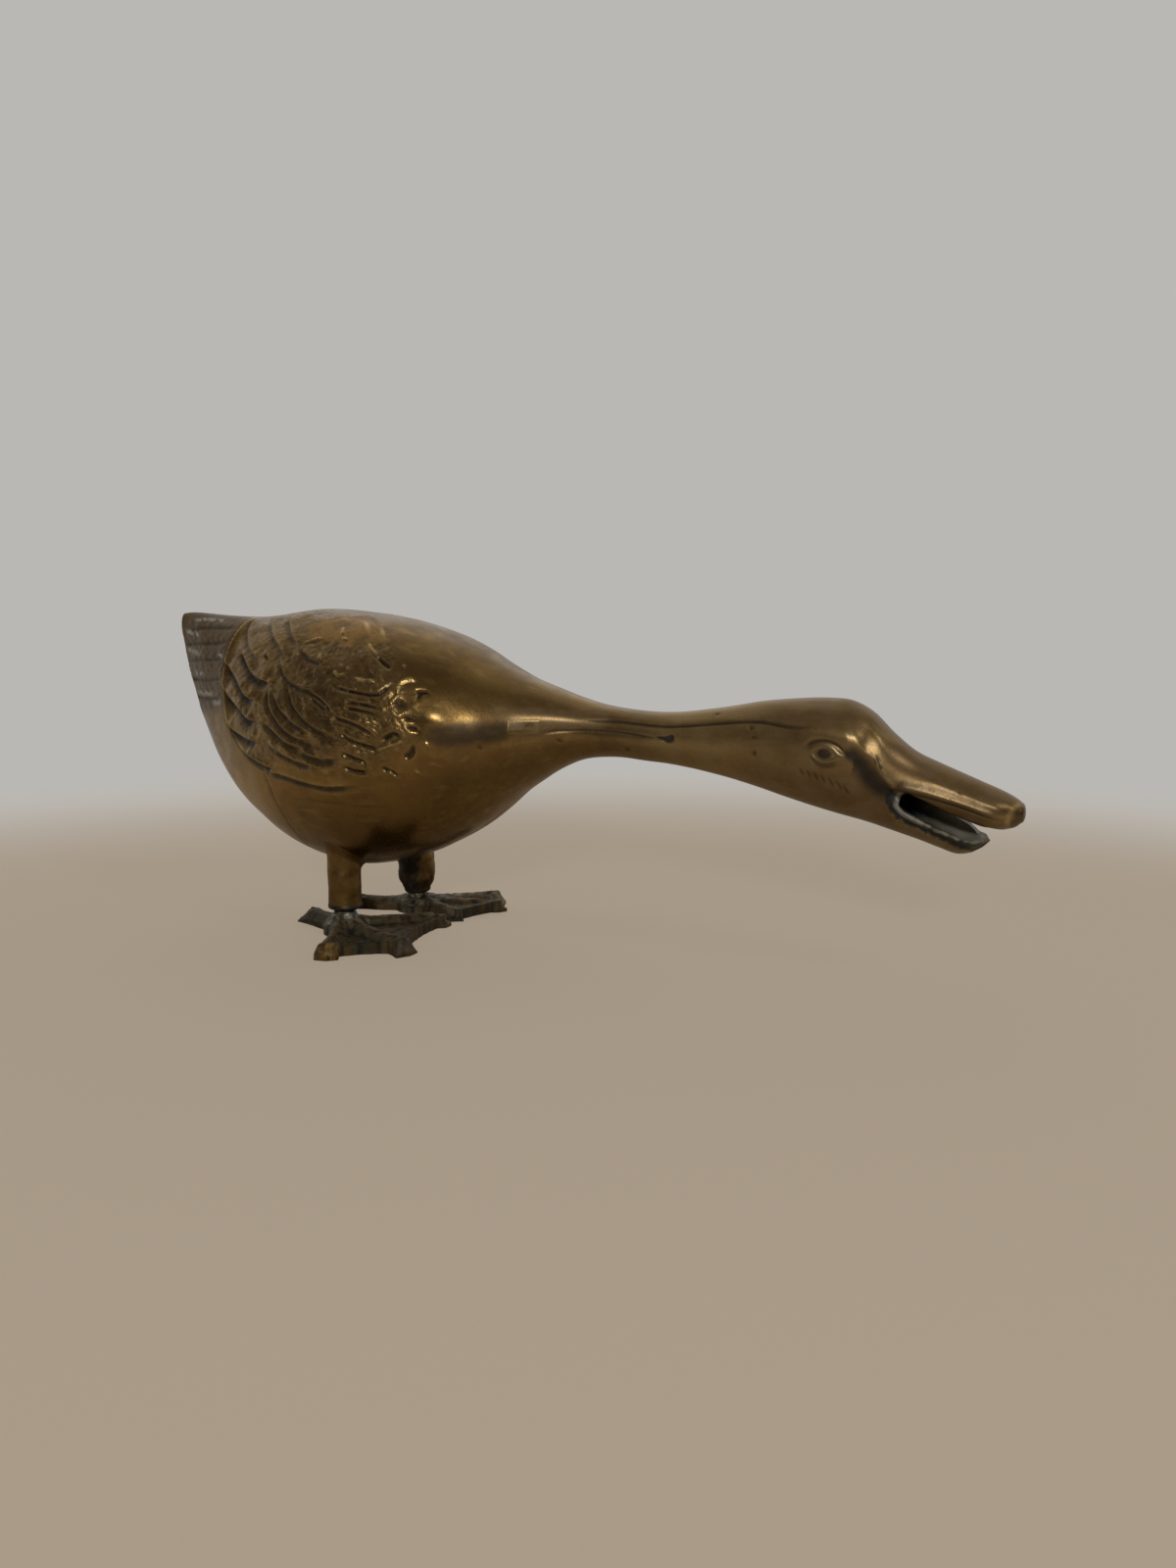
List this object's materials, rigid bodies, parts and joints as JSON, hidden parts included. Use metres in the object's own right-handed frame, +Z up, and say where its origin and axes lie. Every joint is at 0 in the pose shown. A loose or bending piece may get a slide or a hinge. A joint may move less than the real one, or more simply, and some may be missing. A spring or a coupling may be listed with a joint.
{
  "type": "goose figurine",
  "caption": "Hollow cast brass goose ornament with its neck stretched forward and its bill open, standing on webbed feet.",
  "frame": {"origin": "on the ground, under the centre of the goose's overall box", "axes": "+X forward, from the tail to the bill; +Y to the goose's left; +Z up"},
  "size_m": [0.3, 0.0876, 0.112],
  "materials": {
    "polished_brass": "worn satin brass with brown patina in the recesses",
    "aged_brass": "dark, rough, grey-green brown patina",
    "braze": "satin brass filler, filed flush",
    "solder": "dull pale grey solder"
  },
  "bodies": {
    "root": {"right_shell": "polished_brass", "left_shell": "polished_brass", "seam_braze": "braze", "right_core_plug": "polished_brass", "left_core_plug": "polished_brass", "right_leg": "polished_brass", "left_leg": "polished_brass", "right_leg_braze": "braze", "left_leg_braze": "braze", "right_foot": "aged_brass", "left_foot": "aged_brass", "right_foot_solder": "solder", "left_foot_solder": "solder"}
  },
  "joints": []
}
